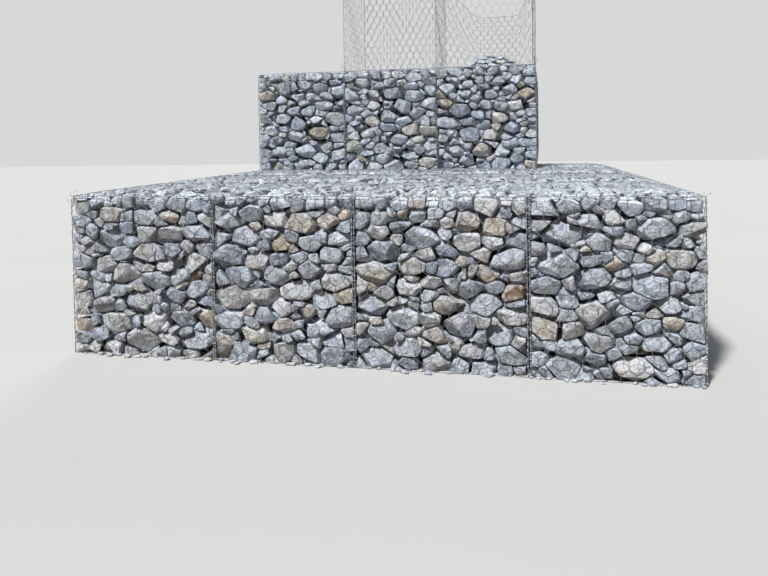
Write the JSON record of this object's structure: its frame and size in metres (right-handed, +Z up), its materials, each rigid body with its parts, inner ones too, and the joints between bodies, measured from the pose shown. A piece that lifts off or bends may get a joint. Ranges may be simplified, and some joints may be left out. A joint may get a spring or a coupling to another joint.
{
  "type": "gabion wall",
  "caption": "Stepped gabion retaining wall: stone-filled wire baskets in two courses, the upper set far back, with an open unfilled mesh basket on top.",
  "frame": {"origin": "on the ground, under the middle of the lower course's plan", "axes": "+Z up, +Y from the front face into the slope, +X to the right as seen from the front"},
  "size_m": [3.8466, 4.0726, 3.0855],
  "materials": {
    "stone": "broken rock, matt",
    "selvedge_wire": "galvanised, dulled",
    "mesh_wire": "galvanised, dulled",
    "lacing_wire": "galvanised, dulled"
  },
  "bodies": {
    "root": {"lower_fill_1": "stone", "lower_fill_2": "stone", "lower_fill_3": "stone", "lower_fill_4": "stone", "upper_fill_1": "stone", "upper_fill_2": "stone", "upper_fill_3": "stone", "first_stones": "stone", "lower_basket_1": "selvedge_wire", "lower_basket_2": "selvedge_wire", "lower_basket_3": "selvedge_wire", "lower_basket_4": "selvedge_wire", "upper_basket_1": "selvedge_wire", "upper_basket_2": "selvedge_wire", "upper_basket_3": "selvedge_wire", "open_frame": "selvedge_wire", "open_front_mesh": "mesh_wire", "open_back_mesh": "mesh_wire", "open_left_mesh": "mesh_wire", "open_diaphragm_1": "mesh_wire", "open_right_mesh": "mesh_wire", "open_base_mesh": "mesh_wire", "open_lid": "mesh_wire", "lower_lacing_1": "lacing_wire", "lower_lacing_2": "lacing_wire", "lower_lacing_3": "lacing_wire", "upper_lacing_1": "lacing_wire", "upper_lacing_2": "lacing_wire", "foot_lacing": "lacing_wire", "lid_lacing": "lacing_wire"}
  },
  "joints": []
}
